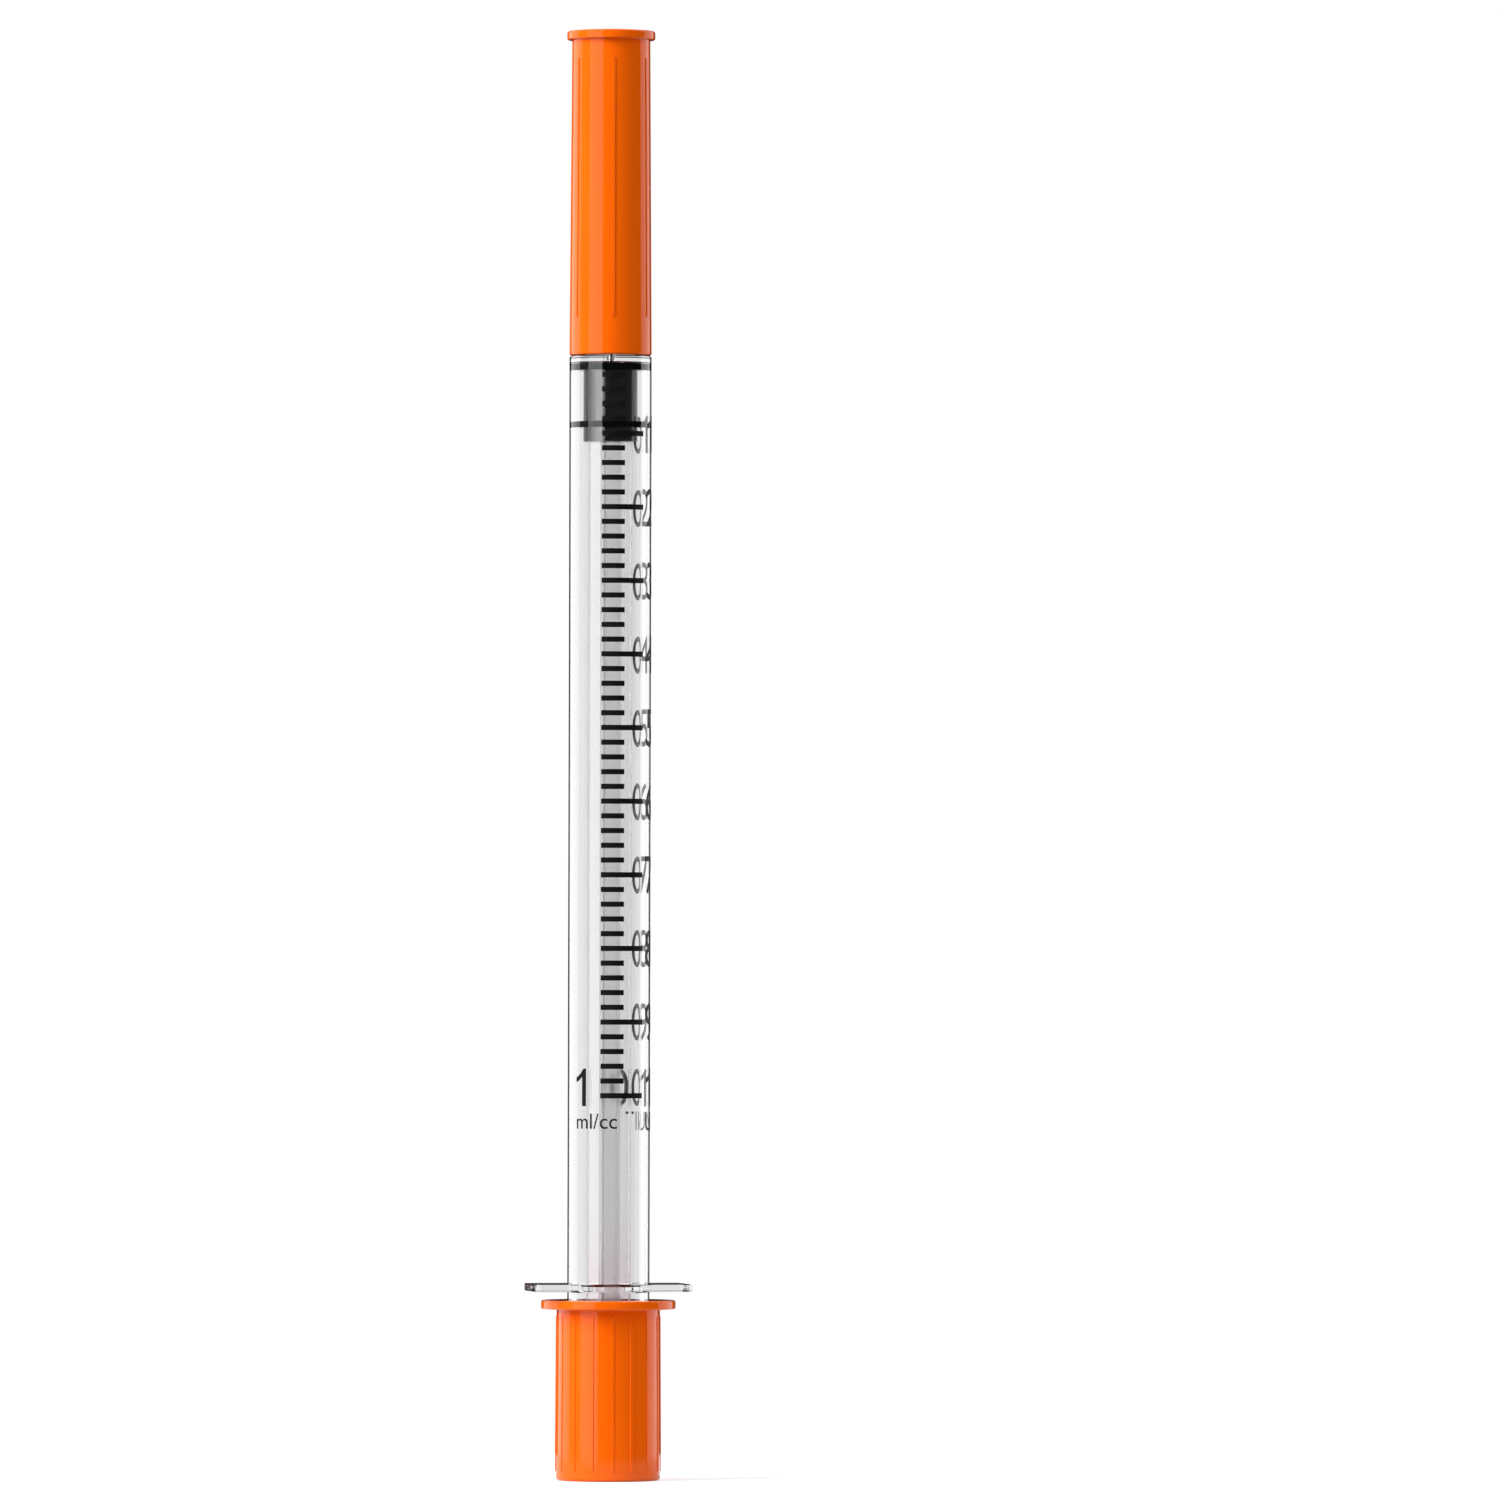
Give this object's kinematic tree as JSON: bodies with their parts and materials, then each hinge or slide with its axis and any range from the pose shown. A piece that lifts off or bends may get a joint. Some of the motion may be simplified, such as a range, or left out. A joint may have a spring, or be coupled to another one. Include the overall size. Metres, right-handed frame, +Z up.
{
  "type": "insulin syringe",
  "caption": "Small fixed-needle syringe with a clear printed barrel, finger flange, rubber stopper, cross-section plunger rod, and orange needle shield and plunger cap.",
  "frame": {"origin": "centre of the plunger cap's closed end, on which the syringe stands", "axes": "+Z up the syringe's axis towards the needle, X along the finger flange's wings"},
  "size_m": [0.0116, 0.01, 0.1069],
  "materials": {
    "clear_plastic": "polished clear moulding",
    "rod_plastic": "clear moulding",
    "orange_plastic": "gloss moulding",
    "black_rubber": "smooth, lightly oiled",
    "needle_steel": "fine drawn tube",
    "glue": "cured clear adhesive",
    "black_ink": "printed ink"
  },
  "bodies": {
    "barrel": {"barrel": "clear_plastic", "cannula": "needle_steel", "needle_adhesive": "glue", "scale_fine_marks": "black_ink", "scale_ten_marks": "black_ink"},
    "shield": {"needle_shield": "orange_plastic"},
    "stopper": {"stopper": "black_rubber"},
    "rod": {"plunger_rod": "rod_plastic"},
    "cap": {"plunger_cap": "orange_plastic"}
  },
  "joints": [
    {"name": "shield_pull", "type": "slide", "parent": "barrel", "child": "shield", "axis": [0, 0, 1], "range_m": [0, 0.03]},
    {"name": "plunger_slide", "type": "slide", "parent": "barrel", "child": "stopper", "axis": [0, 0, -1], "range_m": [0, 0.061]},
    {"name": "rod_turn", "type": "hinge", "parent": "stopper", "child": "rod", "pos_m": [0, 0, 0.0766], "axis": [0, 0, 1], "continuous": true},
    {"name": "cap_pull", "type": "slide", "parent": "rod", "child": "cap", "axis": [0, 0, -1], "range_m": [0, 0.018]}
  ]
}
